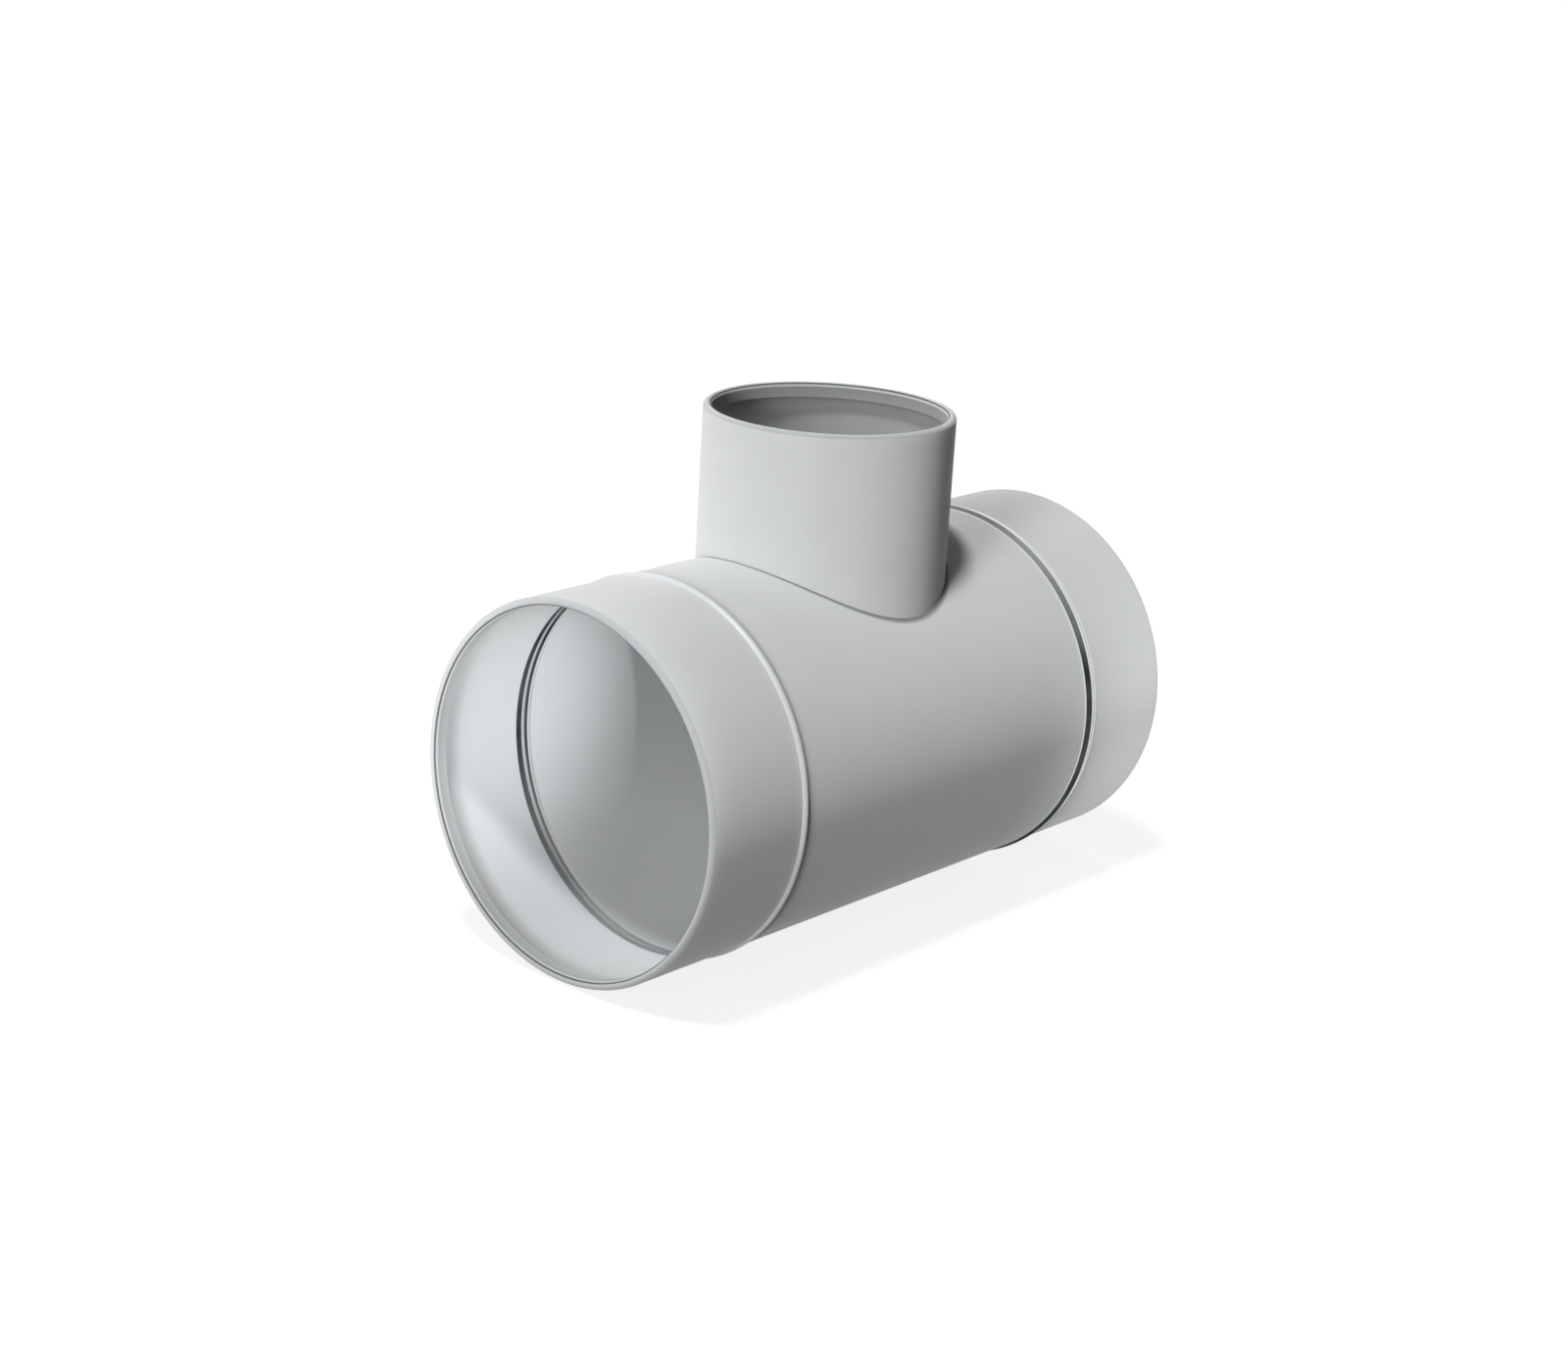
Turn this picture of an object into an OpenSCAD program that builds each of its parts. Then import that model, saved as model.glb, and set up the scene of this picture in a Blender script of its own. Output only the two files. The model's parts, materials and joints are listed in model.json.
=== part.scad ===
// Straight reducing tee for round sheet-metal duct.
// The run is one rolled tube with a hemmed rim and a rolled stop bead at each end.
// The branch is a smaller collar that stands on the run and opens into it.
// The run lies along X, the branch points up along Z, and the stop beads touch z = 0.

/* [Run] */
// Outside diameter of the run's tube
run_d = 150; // [125:1:220]
// Length of the run from rim to rim
run_len = 280; // [230:1:420]
// Length of a run collar, from its rim to the middle of its stop bead
run_collar_len = 50; // [30:1:70]

/* [Branch] */
// Outside diameter of the branch collar
branch_d = 100; // [60:1:125]
// Height of the branch rim over the run's centre line
branch_reach = 130; // [105:1:200]

/* [Sheet] */
// Thickness of the sheet that the run and the branch are rolled from
sheet_t = 1; // [0.5:0.1:1.5]

/* [Stop beads] */
// Height of a stop bead over the outside of the run
bead_h = 1; // [0.6:0.1:2]
// Width of a stop bead, between the places where it leaves the flat sheet
bead_w = 4.2; // [3.6:0.1:8]
// Outside radius of a stop bead's crown
bead_crown_r = 1.8; // [1.6:0.1:2.4]

/* [Hemmed rims] */
// Open space inside the fold of a hem
hem_gap = 1.4; // [0.4:0.1:3]
// Length of a hem, from the rim back to the sheet's cut edge
hem_len = 6; // [4:0.5:12]

/* [Hidden] */
$fn = 144;

zinc = [0.78, 0.79, 0.8];

run_r = run_d / 2;
branch_r = branch_d / 2;
branch_bore_r = branch_r - sheet_t;
// Height of the run's centre line, with the stop beads resting on z = 0
axis_z = run_r + bead_h;

// A hem is a half turn of the sheet round its open space
hem_bend_r = hem_gap / 2;
hem_r = hem_bend_r + sheet_t;

// A bead is three bends: a crown, and on each side a foot that curves the other way.
// Crown and foot meet on the line through their centres, and the bead's width and height
// give the distance between those centres.
bead_half_w = bead_w / 2;
bead_span = (bead_half_w ^ 2 + bead_h ^ 2) / (2 * bead_h);
bead_foot_r = bead_span - bead_crown_r;

// Cuts start and end this far outside the metal
overrun = sheet_t;

// In the sections below, x is the distance outward from the outside of the flat sheet,
// and y is the distance along the tube.

// Bend of the sheet round a centre, as far as it lies in the outline
module bend(centre, inner_r, outline) {
    intersection() {
        translate(centre)
            difference() {
                circle(r = inner_r + sheet_t);
                circle(r = inner_r);
            }
        polygon(outline);
    }
}

// Flat stretch of the sheet between two places along the tube
module flat(from, to) {
    translate([-sheet_t, from])
        square([sheet_t, to - from]);
}

// Rim at y = 0 with the sheet folded back inside, for a tube on the side of rising y
module hem() {
    bend([-hem_r, hem_r], hem_bend_r, [
        [overrun, hem_r],
        [overrun, -overrun],
        [-2 * hem_r - overrun, -overrun],
        [-2 * hem_r - overrun, hem_r]
    ]);
    translate([-hem_gap - sheet_t, 0])
        flat(hem_r, hem_len);
}

// Stop bead with its middle at y = 0
module bead() {
    crown_x = bead_h - bead_crown_r;
    outer_x = max(bead_h, bead_foot_r) + overrun;
    inner_x = min(crown_x, -sheet_t) - overrun;
    bend([crown_x, 0], bead_crown_r - sheet_t, [
        [crown_x, 0],
        [bead_foot_r, bead_half_w],
        [outer_x, bead_half_w],
        [outer_x, -bead_half_w],
        [bead_foot_r, -bead_half_w]
    ]);
    for (side = [0, 1])
        mirror([0, side])
            bend([bead_foot_r, bead_half_w], bead_foot_r, [
                [bead_foot_r, bead_half_w],
                [crown_x, 0],
                [inner_x, 0],
                [inner_x, bead_half_w]
            ]);
}

// Section of the run's sheet from the rim at y = 0 to the middle of the run
module half_run_section() {
    hem();
    flat(hem_r, run_collar_len - bead_half_w);
    translate([0, run_collar_len])
        bead();
    flat(run_collar_len + bead_half_w, run_len / 2);
}

module run_body() {
    color(zinc)
        translate([0, 0, axis_z])
            difference() {
                rotate([0, 90, 0])
                    rotate_extrude()
                        translate([run_r, 0])
                            for (end = [0, 1])
                                mirror([0, end])
                                    translate([0, -run_len / 2])
                                        half_run_section();
                cylinder(r = branch_bore_r, h = run_r + overrun);
            }
}

module branch_collar() {
    color(zinc)
        translate([0, 0, axis_z])
            difference() {
                rotate_extrude()
                    translate([branch_r, branch_reach])
                        mirror([0, 1]) {
                            hem();
                            flat(hem_r, branch_reach);
                        }
                rotate([0, 90, 0])
                    cylinder(r = run_r, h = branch_d + overrun, center = true);
            }
}

run_body();
branch_collar();
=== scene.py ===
import json
import math

import bpy
from mathutils import Matrix, Vector


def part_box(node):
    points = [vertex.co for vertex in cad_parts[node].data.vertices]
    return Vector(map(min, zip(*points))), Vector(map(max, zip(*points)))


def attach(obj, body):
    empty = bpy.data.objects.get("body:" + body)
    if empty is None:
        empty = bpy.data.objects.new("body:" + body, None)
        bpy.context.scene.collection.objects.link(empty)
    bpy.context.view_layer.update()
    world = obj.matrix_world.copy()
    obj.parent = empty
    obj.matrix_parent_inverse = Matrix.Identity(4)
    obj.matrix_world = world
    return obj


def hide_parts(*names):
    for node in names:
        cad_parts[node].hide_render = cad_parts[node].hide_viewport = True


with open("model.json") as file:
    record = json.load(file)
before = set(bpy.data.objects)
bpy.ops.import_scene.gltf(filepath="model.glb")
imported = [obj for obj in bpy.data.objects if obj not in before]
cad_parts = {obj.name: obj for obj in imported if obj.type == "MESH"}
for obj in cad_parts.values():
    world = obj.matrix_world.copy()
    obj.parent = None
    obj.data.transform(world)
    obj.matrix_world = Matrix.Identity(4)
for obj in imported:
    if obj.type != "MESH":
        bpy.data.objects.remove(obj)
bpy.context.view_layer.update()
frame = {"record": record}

# Sizes of the tee, in metres. They come from the frame where it has them.

MM = 0.001
mounts = {mount["name"]: mount for mount in frame["record"]["mounts"]}
run_end = mounts["run_end_b"]
branch_end = mounts["branch_end"]

RUN_R = run_end["dims"]["r_mm"] * MM
# Height of the run's centre line over the floor
AXIS_Z = run_end["pos_m"][2]
RUN_HALF_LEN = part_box("run_body")[1].x
BRANCH_R = branch_end["dims"]["r_mm"] * MM
BRANCH_RIM_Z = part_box("branch_collar")[1].z
# A run collar is flat between its hem and its stop bead
COLLAR_FLAT_LEN = run_end["dims"]["length_mm"] * MM
COLLAR_FLAT_MID_X = run_end["pos_m"][0]

SHEET_T = 1.0 * MM
# Outside radius of a hem's bend
HEM_R = RUN_HALF_LEN - COLLAR_FLAT_MID_X - COLLAR_FLAT_LEN / 2
# Length of a hem, from the rim back to the sheet's cut edge
HEM_LEN = 6.0 * MM

BEAD_H = AXIS_Z - RUN_R
BEAD_HALF_W = 2.1 * MM
BEAD_CROWN_R = 1.8 * MM
BEAD_MID_X = COLLAR_FLAT_MID_X - COLLAR_FLAT_LEN / 2 - BEAD_HALF_W
# Distance between the centres of a bead's crown and its foot
BEAD_SPAN = (BEAD_HALF_W ** 2 + BEAD_H ** 2) / (2 * BEAD_H)
BEAD_FOOT_R = BEAD_SPAN - BEAD_CROWN_R
BEAD_TURN = 2 * math.atan(BEAD_H / BEAD_HALF_W)

BRANCH_BORE_R = BRANCH_R - SHEET_T

# Fineness of the meshes
ROUND_STEPS = 240
HEM_STEPS = 14
BEAD_FOOT_STEPS = 6
BEAD_CROWN_STEPS = 12
# Longest step along a flat stretch of sheet
FLAT_STEP = 4.0 * MM
SHARP_ANGLE = math.radians(40)
# Cutters reach this far past the metal
OVERRUN = 10 * MM


def linked(obj):
    """Puts a new object into the scene."""
    bpy.context.scene.collection.objects.link(obj)
    return obj


# The sheet's section is walked from one cut edge to the other.
# A move goes forward by a length and turns to the left (+) or the right (-) by an angle.

def forward(length):
    steps = max(1, round(length / FLAT_STEP))
    return [(length / steps, 0.0)] * steps


def turn(radius, angle, steps):
    chord = 2 * radius * math.sin(abs(angle) / steps / 2)
    return [(chord, angle / steps)] * steps


def both_faces(start, heading, moves):
    """The closed outline of a sheet whose middle starts there and follows the moves."""
    place = Vector(start)
    left, right = [], []
    for length, angle in [(0.0, 0.0)] + moves:
        ahead = heading + angle / 2
        place = place + length * Vector((math.cos(ahead), math.sin(ahead)))
        heading += angle
        side = Vector((-math.sin(heading), math.cos(heading))) * SHEET_T / 2
        left.append(place + side)
        right.append(place - side)
    return right + left[::-1]


def hem_moves():
    return forward(HEM_LEN - HEM_R) + turn(HEM_R - SHEET_T / 2, math.pi, HEM_STEPS)


def bead_moves():
    foot = turn(BEAD_FOOT_R + SHEET_T / 2, -BEAD_TURN, BEAD_FOOT_STEPS)
    crown = turn(BEAD_CROWN_R - SHEET_T / 2, 2 * BEAD_TURN, BEAD_CROWN_STEPS)
    return foot + crown + foot


def run_outline():
    """Section of the run: x along its centre line, y outward from the outside of the flat sheet."""
    end = hem_moves() + forward(COLLAR_FLAT_LEN) + bead_moves()
    middle = forward(2 * (BEAD_MID_X - BEAD_HALF_W))
    start = (RUN_HALF_LEN - HEM_LEN, SHEET_T / 2 - 2 * HEM_R)
    return both_faces(start, 0.0, end + middle + end[::-1])


def branch_outline():
    """Section of the branch: x up its centre line from the run's, y outward from the flat sheet."""
    reach = BRANCH_RIM_Z - AXIS_Z
    start = (reach - HEM_LEN, SHEET_T / 2 - 2 * HEM_R)
    return both_faces(start, 0.0, hem_moves() + forward(reach - HEM_R))


def outline_object(name, points):
    """A closed flat curve with the section's outward side on its X and its length on its -Y."""
    curve = bpy.data.curves.new(name, "CURVE")
    curve.dimensions = "3D"
    spline = curve.splines.new("POLY")
    spline.points.add(len(points) - 1)
    for point, (along, outward) in zip(spline.points, points):
        point.co = (outward, -along, 0, 1)
    spline.use_cyclic_u = True
    return linked(bpy.data.objects.new(name, curve))


# Geometry Nodes: a tube is its section swept round a circle, less a cylinder.

def rolled_tube_tree():
    """Tree that rolls a section into a tube, turns it, lifts it and cuts it with a cylinder."""
    tree = bpy.data.node_groups.new("rolled_tube", "GeometryNodeTree")
    for name, kind in (("Section", "Geometry"), ("Radius", "Float"), ("Turn", "Rotation"),
                       ("Lift", "Vector"), ("Round steps", "Int"), ("Cutter radius", "Float"),
                       ("Cutter length", "Float"), ("Cutter turn", "Rotation"),
                       ("Cutter lift", "Vector"), ("Finish", "Material")):
        tree.interface.new_socket(name, in_out="INPUT", socket_type="NodeSocket" + kind)
    tree.interface.new_socket("Geometry", in_out="OUTPUT", socket_type="NodeSocketGeometry")
    given = tree.nodes.new("NodeGroupInput").outputs

    def node(kind, **inputs):
        made = tree.nodes.new("GeometryNode" + kind)
        for name, socket in inputs.items():
            tree.links.new(socket, made.inputs[name.replace("_", " ")])
        return made

    circle = node("CurvePrimitiveCircle", Resolution=given["Round steps"], Radius=given["Radius"])
    tube = node("CurveToMesh", Curve=circle.outputs[0], Profile_Curve=given["Section"])
    placed = node("Transform", Geometry=tube.outputs[0], Rotation=given["Turn"],
                  Translation=given["Lift"])
    cylinder = node("MeshCylinder", Vertices=given["Round steps"], Radius=given["Cutter radius"],
                    Depth=given["Cutter length"])
    cutter = node("Transform", Geometry=cylinder.outputs[0], Rotation=given["Cutter turn"],
                  Translation=given["Cutter lift"])
    cut = node("MeshBoolean", Mesh_1=placed.outputs[0], Mesh_2=cutter.outputs[0])
    cut.operation = "DIFFERENCE"
    cut.solver = "MANIFOLD"
    smooth = node("SetShadeSmooth", Geometry=cut.outputs[0])
    painted = node("SetMaterial", Geometry=smooth.outputs[0], Material=given["Finish"])
    real = node("RealizeInstances", Geometry=painted.outputs[0])
    tree.links.new(real.outputs[0], tree.nodes.new("NodeGroupOutput").inputs[0])
    return tree


def grown(name, section, tree, inputs):
    """The plain mesh that the tree grows from a section, with the tree's inputs set by name."""
    modifier = section.modifiers.new("Grow", "NODES")
    modifier.node_group = tree
    for item in tree.interface.items_tree:
        if item.item_type == "SOCKET" and item.in_out == "INPUT" and item.name in inputs:
            modifier[item.identifier] = inputs[item.name]
    depsgraph = bpy.context.evaluated_depsgraph_get()
    mesh = bpy.data.meshes.new_from_object(section.evaluated_get(depsgraph))
    bpy.data.objects.remove(section)
    mesh.name = name
    mesh.set_sharp_from_angle(angle=SHARP_ANGLE)
    return linked(bpy.data.objects.new(name, mesh))


# Finishes. Every pattern reads Object coordinates, which are the tee's own place in metres.
# A mask is a number from 0 to 1 that says how strongly a mark shows at a place.

class Paint:
    """A node material under construction around one Principled shader."""

    def __init__(self, name):
        self.material = bpy.data.materials.new(name)
        self.material.use_nodes = True
        self.tree = self.material.node_tree
        self.shader = self.tree.nodes["Principled BSDF"]
        self.place = self.tree.nodes.new("ShaderNodeTexCoord").outputs["Object"]

    def add(self, kind, **inputs):
        """A new node. An input is named, with _ for a space, or numbered as i0, i1 and so on."""
        node = self.tree.nodes.new("ShaderNode" + kind)
        for name, value in inputs.items():
            key = int(name[1:]) if name[1:].isdigit() else name.replace("_", " ")
            self.feed(node.inputs[key], value)
        return node

    def feed(self, socket, value):
        if isinstance(value, bpy.types.NodeSocket):
            self.tree.links.new(value, socket)
        else:
            socket.default_value = value

    def set(self, name, value):
        self.feed(self.shader.inputs[name], value)

    def calc(self, operation, first, second=0.0):
        node = self.add("Math", i0=first, i1=second)
        node.operation = operation
        return node.outputs[0]

    def chain(self, operation, values):
        """Takes one value after another into the same calculation."""
        result = values[0]
        for value in values[1:]:
            result = self.calc(operation, result, value)
        return result

    def product(self, *values):
        return self.chain("MULTIPLY", values)

    def most(self, *masks):
        """The strongest of some masks at each place."""
        return self.chain("MAXIMUM", masks)

    def spread(self, value, from_low, from_high, to_low, to_high):
        """Carries a value from one range to another, and holds it within the new one."""
        return self.add("MapRange", Value=value, From_Min=from_low, From_Max=from_high,
                        To_Min=to_low, To_Max=to_high).outputs[0]

    def stripe(self, value, middle, half_width, soft):
        """1 where the value is near the middle, fading to 0 over the soft distance."""
        off = self.calc("ABSOLUTE", self.calc("SUBTRACT", value, middle))
        return self.spread(off, half_width - soft / 2, half_width + soft / 2, 1, 0)

    def noise(self, scale, detail, stretch=(1, 1, 1)):
        """Noise whose patches are about 1/scale metres across, longer where stretch is small."""
        squeezed = self.add("Mapping", Vector=self.place, Scale=stretch).outputs[0]
        return self.add("TexNoise", Vector=squeezed, Scale=scale, Detail=detail).outputs["Fac"]

    def along(self, axis):
        """Place along X, Y or Z."""
        return self.add("SeparateXYZ", i0=self.place).outputs[axis]

    def diagonal(self, first, second):
        """Distance across a rectangle with these two sides."""
        squares = self.calc("ADD", self.product(first, first), self.product(second, second))
        return self.calc("SQRT", squares)

    def blended(self, under, over, share):
        mix = self.add("Mix", i0=share, i6=under, i7=over)
        mix.data_type = "RGBA"
        return mix.outputs[2]


# Colours and gloss of the sheet, with a near-black for painted shade and a pale grey for painted
# highlights and welds
RUN_ZINC = (0.735, 0.75, 0.761)
BRANCH_ZINC = (0.775, 0.788, 0.794)
PAINTED_SHADE_COLOUR = (0.03, 0.036, 0.04, 1)
HIGHLIGHT_AND_WELD_COLOUR = (0.93, 0.94, 0.95, 1)
SHEET_METALLIC = 0.03
POLISHED_METALLIC = 0.85
SHEET_GLOSS = 0.05
SHEET_ROUGHNESS = (0.42, 0.52)
DIFFUSE_ROUGHNESS = 1.0

# Blooms of the zinc, and the mill's fine grain, which runs along each tube.
# Nearly all values of a noise, and of two of them together, lie in the usual ranges.
NOISE_USUAL = (0.3, 0.7)
TWO_NOISES_USUAL = (0.7, 1.3)
BLOOM_SCALE, BLOOM_DETAIL = 34, 4
BLOOM_LIGHT = (0.985, 1.01)
GRAIN_SCALE, GRAIN_DETAIL = 2600, 2
GRAIN_LIGHT = (-0.006, 0.006)
GRAIN_BUMP, GRAIN_DEPTH = 0.12, 0.02 * MM
GRAIN_ALONG_X = (0.02, 1, 1)
GRAIN_ALONG_Z = (1, 1, 0.02)

# Stripes of painted shade and painted highlight at a stop bead: the middle, half the width and the
# soft edge.
# The middle is counted from the bead's, and rises towards the rim.
FOOT_LINE = (-1.6 * MM, 1.3 * MM, 0.3 * MM)
GROOVE_LINES = ((2.2 * MM, 1.9 * MM, 0.4 * MM), (-1.3 * MM, 0.65 * MM, 0.4 * MM))
CROWN_HIGHLIGHT = (0.95 * MM, 1.0 * MM, 0.4 * MM)
SIDE_HIGHLIGHTS = (3.2 * MM, 0.5 * MM, 0.6 * MM)
SIDE_HIGHLIGHT_SHARE = 0.75
# How much of the painted shade lines and painted highlights is left outside at the near end
NEAR_LINE_SHARE = 0.2
NEAR_HIGHLIGHT_SHARE = 0.1
# How much of the painted shade lines is left where the sheet faces upward, and the heights between
# which they fade
UPWARD_LINE_SHARE = 0.55
UPWARD_FADE = (0.3 * RUN_R, 0.95 * RUN_R)
# Patchiness of the painted shade lines, which vary at random along them
LINE_PATCH_SCALE, LINE_PATCH_DETAIL = 30, 3
LINE_PATCH_USUAL = (0.35, 0.65)
LINE_PATCH_SHARE = (0.85, 1.0)

# The painted contact shade round the foot of the branch fades between these distances from it
SADDLE_LINE_FADE = (0.8 * MM, 2.2 * MM)
SADDLE_LINE_STRENGTH = 0.65

# Depths in from the outside of the flat sheet, on either side of the middle of its thickness
OUTER_FACE = 0.4 * SHEET_T
INNER_FACE = 0.6 * SHEET_T

# At a mouth, painted shade darkens the rim's bend, and a thin painted shade line runs on the bend's
# inner side.
# The line is a stripe in depth, and the other pairs are distances from the rim.
RIM_SHADE_STRENGTH = 0.22
RIM_FADE = (0.7 * HEM_R, HEM_R)
INNER_LINE = (1.7 * HEM_R, 0.17 * HEM_R, 0.1 * HEM_R)
INNER_LINE_STRENGTH = 0.8
BEHIND_BEND = (0.8 * HEM_R, 1.1 * HEM_R)
# How far in the painted shade inside a mouth reaches, and how dark it is
RUN_MOUTH = (16 * MM, 0.42)
BRANCH_MOUTH = (26 * MM, 0.58)

WELD_LINE = (0.0, 0.7 * MM, 0.5 * MM)
WELD_SHINE = 0.3
WELD_BUMP, WELD_DEPTH = 0.5, 0.1 * MM


def over_run_line(paint):
    """Height over the run's centre line."""
    return paint.calc("SUBTRACT", paint.along("Z"), AXIS_Z)


def run_depth(paint):
    """Depth in from the outside of the run's flat sheet."""
    return paint.calc("SUBTRACT", RUN_R, paint.diagonal(paint.along("Y"), over_run_line(paint)))


def branch_depth(paint):
    """Depth in from the outside of the branch's flat sheet, and less than 0 round it."""
    return paint.calc("SUBTRACT", BRANCH_R, paint.diagonal(paint.along("X"), paint.along("Y")))


def outside_of_run(paint):
    """1 on the outer face of the run's sheet and deep in a bead's groove, 0 elsewhere inside."""
    return paint.calc("LESS_THAN", run_depth(paint), OUTER_FACE)


def outside_of_branch(paint):
    return paint.calc("LESS_THAN", branch_depth(paint), OUTER_FACE)


def past_bead(paint):
    """Distance along the run from the middle of the nearer stop bead, rising towards the rim."""
    return paint.calc("SUBTRACT", paint.calc("ABSOLUTE", paint.along("X")), BEAD_MID_X)


def less_outside_near(paint, share):
    """1, but only the share outside on the half of the run at the camera."""
    near = paint.calc("LESS_THAN", paint.along("X"), 0.0)
    return paint.spread(paint.product(outside_of_run(paint), near), 0, 1, 1, share)


def less_facing_up(paint, share):
    """1, falling to the share where a face of the run's sheet looks upward."""
    side = paint.spread(outside_of_run(paint), 0, 1, -1, 1)
    upward = paint.product(over_run_line(paint), side)
    return paint.spread(upward, *UPWARD_FADE, 1, share)


def bead_shade_lines(paint):
    """Painted shade lines along a stop bead: in its groove, and outside at the foot by the branch."""
    place = past_bead(paint)
    outside = outside_of_run(paint)
    foot = paint.product(paint.stripe(place, *FOOT_LINE), outside)
    groove = paint.most(*(paint.stripe(place, *line) for line in GROOVE_LINES))
    inside = paint.calc("SUBTRACT", 1.0, outside)
    line = paint.most(foot, paint.product(groove, inside))
    patchy = paint.spread(paint.noise(LINE_PATCH_SCALE, LINE_PATCH_DETAIL), *LINE_PATCH_USUAL, *LINE_PATCH_SHARE)
    return paint.product(line, patchy, less_facing_up(paint, UPWARD_LINE_SHARE),
                         less_outside_near(paint, NEAR_LINE_SHARE))


def bead_painted_highlights(paint):
    """Painted highlights along the top of a stop bead and beside its feet."""
    place = past_bead(paint)
    crown = paint.stripe(place, *CROWN_HIGHLIGHT)
    sides = paint.stripe(paint.calc("ABSOLUTE", place), *SIDE_HIGHLIGHTS)
    rub = paint.most(crown, paint.product(sides, SIDE_HIGHLIGHT_SHARE))
    return paint.product(rub, less_outside_near(paint, NEAR_HIGHLIGHT_SHARE))


def saddle_contact_shade(paint):
    """Painted contact shade: a dark line on the run round the foot of the branch."""
    from_foot = paint.product(branch_depth(paint), -1.0)
    by_foot = paint.spread(from_foot, *SADDLE_LINE_FADE, 1, 0)
    on_top = paint.calc("GREATER_THAN", over_run_line(paint), 0.0)
    return paint.product(by_foot, outside_of_run(paint), on_top, SADDLE_LINE_STRENGTH)


def mouth_shade(paint, depth, from_rim, reach, darkness):
    """Painted shade at a mouth: on the rim's bend, as a thin dark line on its inner side, and on the
    sheet behind.
    """
    rim = paint.spread(from_rim, *RIM_FADE, RIM_SHADE_STRENGTH, 0)
    in_bend = paint.calc("LESS_THAN", from_rim, HEM_R)
    line = paint.product(paint.stripe(depth, *INNER_LINE), in_bend, INNER_LINE_STRENGTH)
    inside = paint.calc("GREATER_THAN", depth, INNER_FACE)
    behind_bend = paint.spread(from_rim, *BEHIND_BEND, 0, 1)
    fading = paint.spread(from_rim, HEM_R, reach, darkness, 0)
    return paint.most(rim, line, paint.product(inside, behind_bend, fading))


def run_mouth_shade(paint):
    from_rim = paint.calc("SUBTRACT", RUN_HALF_LEN, paint.calc("ABSOLUTE", paint.along("X")))
    return mouth_shade(paint, run_depth(paint), from_rim, *RUN_MOUTH)


def branch_mouth_shade(paint):
    from_rim = paint.calc("SUBTRACT", BRANCH_RIM_Z, paint.along("Z"))
    return mouth_shade(paint, branch_depth(paint), from_rim, *BRANCH_MOUTH)


def run_weld(paint):
    """The lengthwise weld under the run, which shows outside only."""
    below = paint.calc("LESS_THAN", over_run_line(paint), 0.0)
    return paint.product(paint.stripe(paint.along("Y"), *WELD_LINE), outside_of_run(paint), below)


def branch_weld(paint):
    """The upright weld down the back of the branch, which shows outside only."""
    behind = paint.calc("GREATER_THAN", paint.along("Y"), 0.0)
    return paint.product(paint.stripe(paint.along("X"), *WELD_LINE), outside_of_branch(paint), behind)


def zinc_sheet(name, base, grain_stretch, creases, weld, highlights=None):
    """Satin zinc-coated sheet: faint blooms, mill grain, a weld, painted shade and painted
    highlights.
    """
    paint = Paint(name)
    bloom = paint.noise(BLOOM_SCALE, BLOOM_DETAIL)
    grain = paint.noise(GRAIN_SCALE, GRAIN_DETAIL, grain_stretch)
    light = paint.calc("ADD", paint.spread(bloom, *NOISE_USUAL, *BLOOM_LIGHT),
                       paint.spread(grain, *NOISE_USUAL, *GRAIN_LIGHT))
    clean = paint.add("VectorMath", i0=base, i1=light)
    clean.operation = "MULTIPLY"

    metallic = SHEET_METALLIC
    welded = weld(paint)
    bright = paint.product(welded, WELD_SHINE)
    # Painted highlights on the beads, where the sheet is also made more metallic
    if highlights:
        painted_highlight = highlights(paint)
        metallic = paint.spread(painted_highlight, 0, 1, SHEET_METALLIC, POLISHED_METALLIC)
        bright = paint.most(painted_highlight, bright)
    # The pale colour is painted highlight on the beads, and the weld's own lighter colour
    highlighted_and_welded = paint.blended(clean.outputs[0], HIGHLIGHT_AND_WELD_COLOUR, bright)
    # Painted shade: the creases, the branch's foot and the mouths are darkened towards a near-black
    dark = paint.most(*(crease(paint) for crease in creases))
    rough = paint.spread(paint.calc("ADD", bloom, grain), *TWO_NOISES_USUAL, *SHEET_ROUGHNESS)
    raised = paint.add("Bump", Strength=WELD_BUMP, Distance=WELD_DEPTH, Height=welded)
    grained = paint.add("Bump", Strength=GRAIN_BUMP, Distance=GRAIN_DEPTH, Height=grain,
                        Normal=raised.outputs[0])

    paint.set("Base Color", paint.blended(highlighted_and_welded, PAINTED_SHADE_COLOUR, dark))
    paint.set("Metallic", metallic)
    paint.set("Roughness", rough)
    paint.set("Normal", grained.outputs[0])
    paint.set("Diffuse Roughness", DIFFUSE_ROUGHNESS)
    paint.set("Specular IOR Level", SHEET_GLOSS)
    return paint.material


run_finish = zinc_sheet("run_zinc", RUN_ZINC, GRAIN_ALONG_X, weld=run_weld, highlights=bead_painted_highlights,
                        creases=[bead_shade_lines, saddle_contact_shade, run_mouth_shade])
branch_finish = zinc_sheet("branch_zinc", BRANCH_ZINC, GRAIN_ALONG_Z, weld=branch_weld,
                           creases=[branch_mouth_shade])


# The two pieces of the tee. Each stands for its CAD node.

# Turns that leave a tube upright or lay it along X
UPRIGHT = (0.0, 0.0, 0.0)
LENGTHWISE = (0.0, math.pi / 2, 0.0)

tube_tree = rolled_tube_tree()
# The run loses the hole under the branch
run_shell = grown("run_shell", outline_object("run_section", run_outline()), tube_tree, {
    "Radius": RUN_R, "Turn": LENGTHWISE, "Lift": (0, 0, AXIS_Z), "Round steps": ROUND_STEPS,
    "Cutter radius": BRANCH_BORE_R, "Cutter length": RUN_R + OVERRUN, "Cutter turn": UPRIGHT,
    "Cutter lift": (0, 0, AXIS_Z + (RUN_R + OVERRUN) / 2), "Finish": run_finish})
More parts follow.
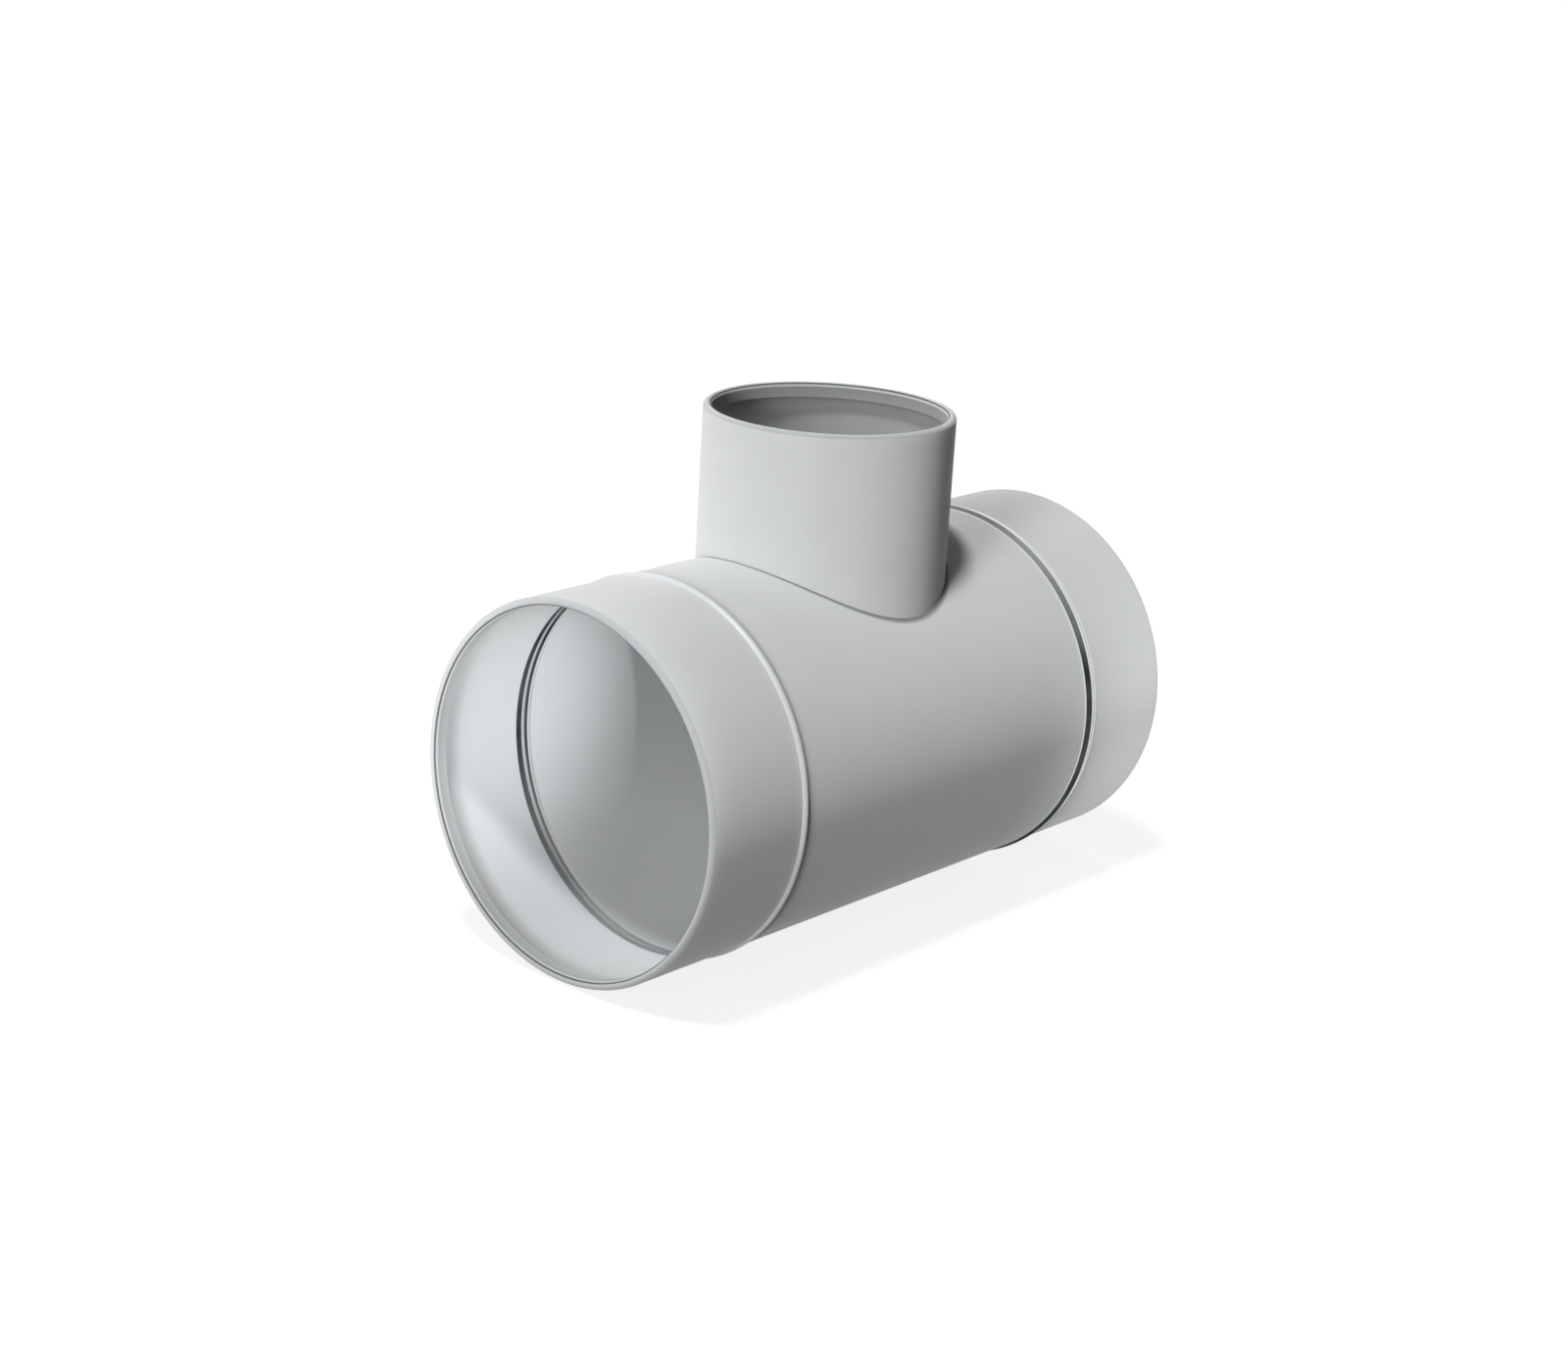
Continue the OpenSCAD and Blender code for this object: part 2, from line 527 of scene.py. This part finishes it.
# The branch loses what would be inside the run, so its foot is the saddle curve
branch_shell = grown("branch_shell", outline_object("branch_section", branch_outline()), tube_tree, {
    "Radius": BRANCH_R, "Turn": UPRIGHT, "Lift": (0, 0, AXIS_Z), "Round steps": ROUND_STEPS,
    "Cutter radius": RUN_R, "Cutter length": 2 * (BRANCH_R + OVERRUN), "Cutter turn": LENGTHWISE,
    "Cutter lift": (0, 0, AXIS_Z), "Finish": branch_finish})

for shell, node_name, slot_name in ((run_shell, "run_body", "run_sheet"),
                                    (branch_shell, "branch_collar", "branch_sheet")):
    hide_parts(node_name)
    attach(shell, "root")


# The stage: a white floor that keeps the tee's shadow, and a white world.

FLOOR_HALF_SIZE = 12.0
# What the floor gives off, how much of the lamps' light it shows, and how much it throws back
FLOOR_GLOW = 0.85
FLOOR_SHADE = 0.25
FLOOR_BOUNCE = 0.15
# The world as it is seen, and as it lights the tee
WORLD_SEEN = 1.0
WORLD_FILL = 0.012


def seen_directly(tree):
    """1 for rays of the camera, of mirrors and of glass."""
    ray = tree.nodes.new("ShaderNodeLightPath")
    seen = ray.outputs["Is Camera Ray"]
    for kind in ("Is Glossy Ray", "Is Transmission Ray"):
        either = tree.nodes.new("ShaderNodeMath")
        either.operation = "MAXIMUM"
        tree.links.new(seen, either.inputs[0])
        tree.links.new(ray.outputs[kind], either.inputs[1])
        seen = either.outputs[0]
    return seen


def show(tree, lit, seen, output):
    """Shows the seen shader to rays that see it directly, and lights the tee with the lit one."""
    mix = tree.nodes.new("ShaderNodeMixShader")
    tree.links.new(seen_directly(tree), mix.inputs[0])
    tree.links.new(lit, mix.inputs[1])
    tree.links.new(seen, mix.inputs[2])
    tree.links.new(mix.outputs[0], tree.nodes[output].inputs["Surface"])


def flat_shader(tree, kind, grey=1.0, strength=None):
    shader = tree.nodes.new("ShaderNode" + kind)
    shader.inputs["Color"].default_value = (grey, grey, grey, 1)
    if strength is not None:
        shader.inputs["Strength"].default_value = strength
    return shader.outputs[0]


def make_floor():
    corners = [(x * FLOOR_HALF_SIZE, y * FLOOR_HALF_SIZE, 0)
               for x, y in ((-1, -1), (1, -1), (1, 1), (-1, 1))]
    mesh = bpy.data.meshes.new("floor")
    mesh.from_pydata(corners, [], [(0, 1, 2, 3)])
    material = bpy.data.materials.new("floor_white")
    material.use_nodes = True
    tree = material.node_tree
    tree.nodes.remove(tree.nodes["Principled BSDF"])
    glow_and_shade = tree.nodes.new("ShaderNodeAddShader")
    tree.links.new(flat_shader(tree, "Emission", strength=FLOOR_GLOW), glow_and_shade.inputs[0])
    tree.links.new(flat_shader(tree, "BsdfDiffuse", FLOOR_SHADE), glow_and_shade.inputs[1])
    bounce = flat_shader(tree, "BsdfDiffuse", FLOOR_BOUNCE)
    show(tree, bounce, glow_and_shade.outputs[0], "Material Output")
    mesh.materials.append(material)
    linked(bpy.data.objects.new("floor", mesh))


def make_world():
    world = bpy.data.worlds.new("studio")
    bpy.context.scene.world = world
    world.use_nodes = True
    tree = world.node_tree
    tree.nodes.remove(tree.nodes["Background"])
    fill = flat_shader(tree, "Background", strength=WORLD_FILL)
    white = flat_shader(tree, "Background", strength=WORLD_SEEN)
    show(tree, fill, white, "World Output")


make_floor()
make_world()


# The camera, which stands at the photograph's angle to the place where the centre lines cross.

VIEW_AZIMUTH = math.radians(49.8)
VIEW_ELEVATION = math.radians(17.5)
VIEW_ROLL = math.radians(-3.4)
VIEW_DISTANCE = 1.195
CROSSING = Vector((0, 0, AXIS_Z))
# The photograph's frame, the place of the crossing in it, and the focal length, in pixels
PHOTO_W, PHOTO_H = 1600, 1400
CROSSING_PX = (827, 735.5)
FOCAL_PX = 3000
# In millimetres, as Blender counts it
SENSOR_W = 36.0
NEAREST_SEEN = 0.01


def view_axes():
    """The camera's right, down and forward directions."""
    level = math.cos(VIEW_ELEVATION)
    ahead = Vector((math.sin(VIEW_AZIMUTH) * level, math.cos(VIEW_AZIMUTH) * level,
                    -math.sin(VIEW_ELEVATION)))
    right = ahead.cross(Vector((0, 0, 1))).normalized()
    down = ahead.cross(right)
    cosine, sine = math.cos(VIEW_ROLL), math.sin(VIEW_ROLL)
    return cosine * right + sine * down, cosine * down - sine * right, ahead


def make_camera():
    right, down, ahead = view_axes()
    across = (CROSSING_PX[0] - PHOTO_W / 2) / FOCAL_PX
    below = (CROSSING_PX[1] - PHOTO_H / 2) / FOCAL_PX
    place = CROSSING - VIEW_DISTANCE * (ahead + across * right + below * down)
    data = bpy.data.cameras.new("camera")
    data.sensor_width = SENSOR_W
    data.lens = FOCAL_PX * SENSOR_W / PHOTO_W
    data.clip_start = NEAREST_SEEN
    camera = linked(bpy.data.objects.new("camera", data))
    turned = Matrix((right, -down, -ahead)).transposed().to_4x4()
    camera.matrix_world = Matrix.Translation(place) @ turned
    bpy.context.scene.camera = camera


make_camera()


# The lamps. A lamp's side is degrees right of the camera, and its height is degrees over the floor.

# How far off the lamps stand. For a wide lamp it makes no difference.
LAMP_DISTANCE = 1.6
# Places that the narrow lamps point at: the far wall in the near mouth, and the far collar's front
NEAR_MOUTH_WALL = Vector((-0.12, 0.074, 0.09))
FAR_COLLAR_FRONT = Vector((0.142, -0.066, 0.06))


def make_lamp(name, kind, side, height, target, power):
    around = VIEW_AZIMUTH - math.radians(side)
    rise = math.radians(height)
    away = Vector((-math.sin(around) * math.cos(rise), -math.cos(around) * math.cos(rise),
                   math.sin(rise)))
    data = bpy.data.lights.new(name, kind)
    data.energy = power
    lamp = linked(bpy.data.objects.new(name, data))
    lamp.rotation_mode = "QUATERNION"
    lamp.rotation_quaternion = away.to_track_quat("Z", "Y")
    lamp.location = target + away * LAMP_DISTANCE
    return data


def make_wide_lamp(name, side, height, softness, strength):
    """A lamp like the sun, that lights tee and floor evenly; softness is its width in degrees."""
    data = make_lamp(name, "SUN", side, height, CROSSING, strength)
    data.angle = math.radians(softness)


def make_narrow_lamp(name, side, height, target, spread, radius, power):
    """A small lamp with a soft-edged beam on one place; spread is the beam's width in degrees."""
    data = make_lamp(name, "SPOT", side, height, target, power)
    data.spot_size = math.radians(spread)
    data.spot_blend = 1.0
    data.shadow_soft_size = radius


# The key stands high at the left front, and the front lamp is broad and soft. The left one is low
# and lights the near mouth's inside too. The back lamp is weak, and lights the back for other views.
make_wide_lamp("key", side=-28, height=70, softness=7, strength=1.62)
make_wide_lamp("front", side=-28, height=30, softness=30, strength=0.5)
make_wide_lamp("left", side=-25, height=8, softness=14, strength=1.2)
make_wide_lamp("back", side=-165, height=34, softness=14, strength=0.6)
make_narrow_lamp("mouth", side=14, height=4, target=NEAR_MOUTH_WALL,
                 spread=6, radius=0.02, power=68)
make_narrow_lamp("far_collar", side=45, height=0, target=FAR_COLLAR_FRONT,
                 spread=5.5, radius=0.03, power=44)

bpy.context.scene.view_settings.view_transform = "Standard"
